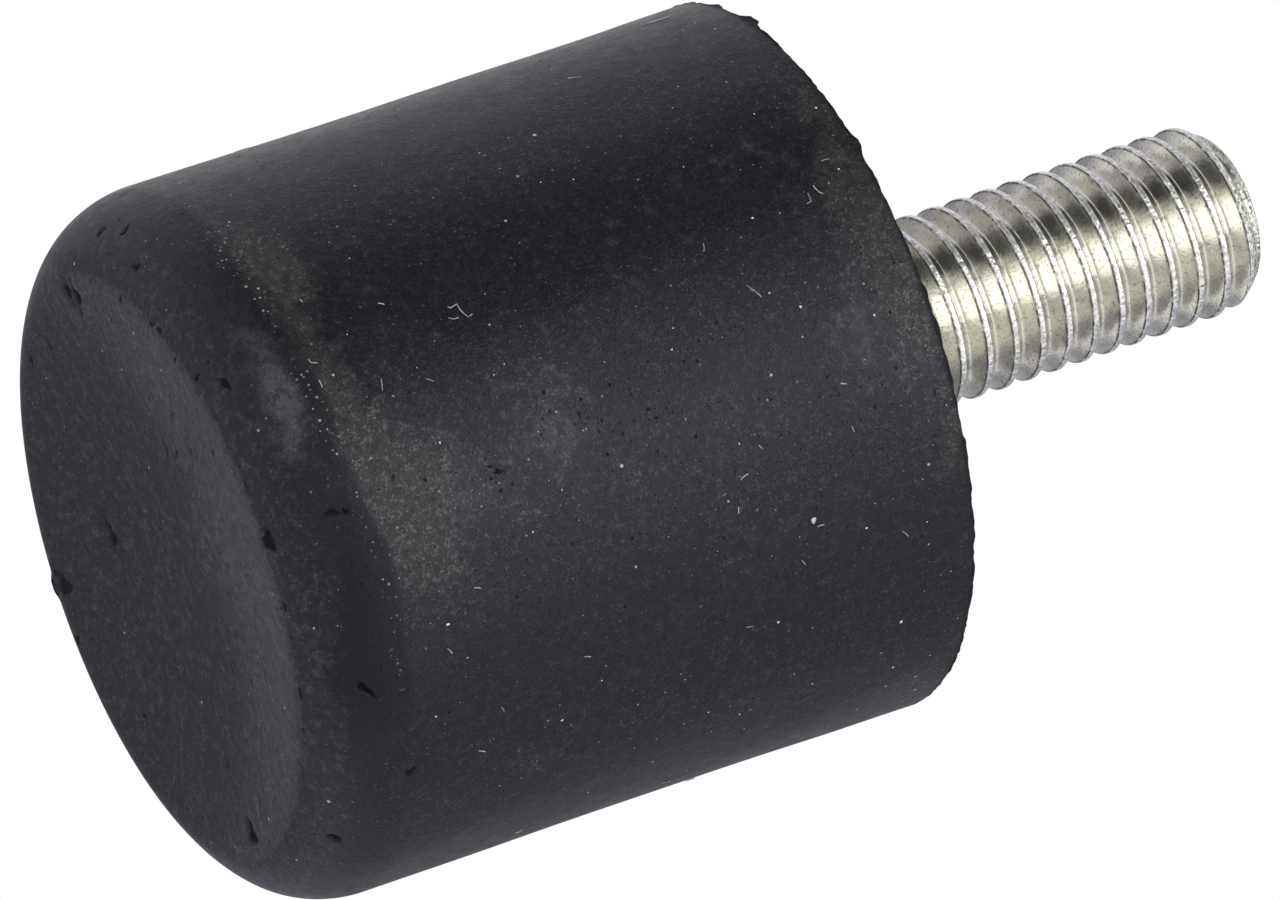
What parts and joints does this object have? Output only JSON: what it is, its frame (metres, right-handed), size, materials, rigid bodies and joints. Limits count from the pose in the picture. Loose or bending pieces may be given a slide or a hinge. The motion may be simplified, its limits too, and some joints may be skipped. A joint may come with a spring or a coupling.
{
  "type": "rubber buffer",
  "caption": "Cylindrical rubber buffer with a dished free face and a bonded steel plate, carrying a threaded stud for bolting it to a frame or foot.",
  "frame": {"origin": "on the buffer's axis, in the plane where the ring of the free rubber face touches down", "axes": "+Z along the axis from the free rubber face to the stud's tip; X and Y are free, because the buffer is round"},
  "size_m": [0.03, 0.03, 0.0495],
  "materials": {
    "moulded_rubber": "matt moulded black rubber, dusty, with small pits and a ragged flash line",
    "plated_plate": "zinc plated sheet steel with a faint yellow-green passivation",
    "plated_stud": "rolled steel thread, bright zinc plated with a faint yellow-green passivation"
  },
  "bodies": {
    "root": {"rubber_body": "moulded_rubber", "steel_plate": "plated_plate", "threaded_stud": "plated_stud"}
  },
  "joints": []
}
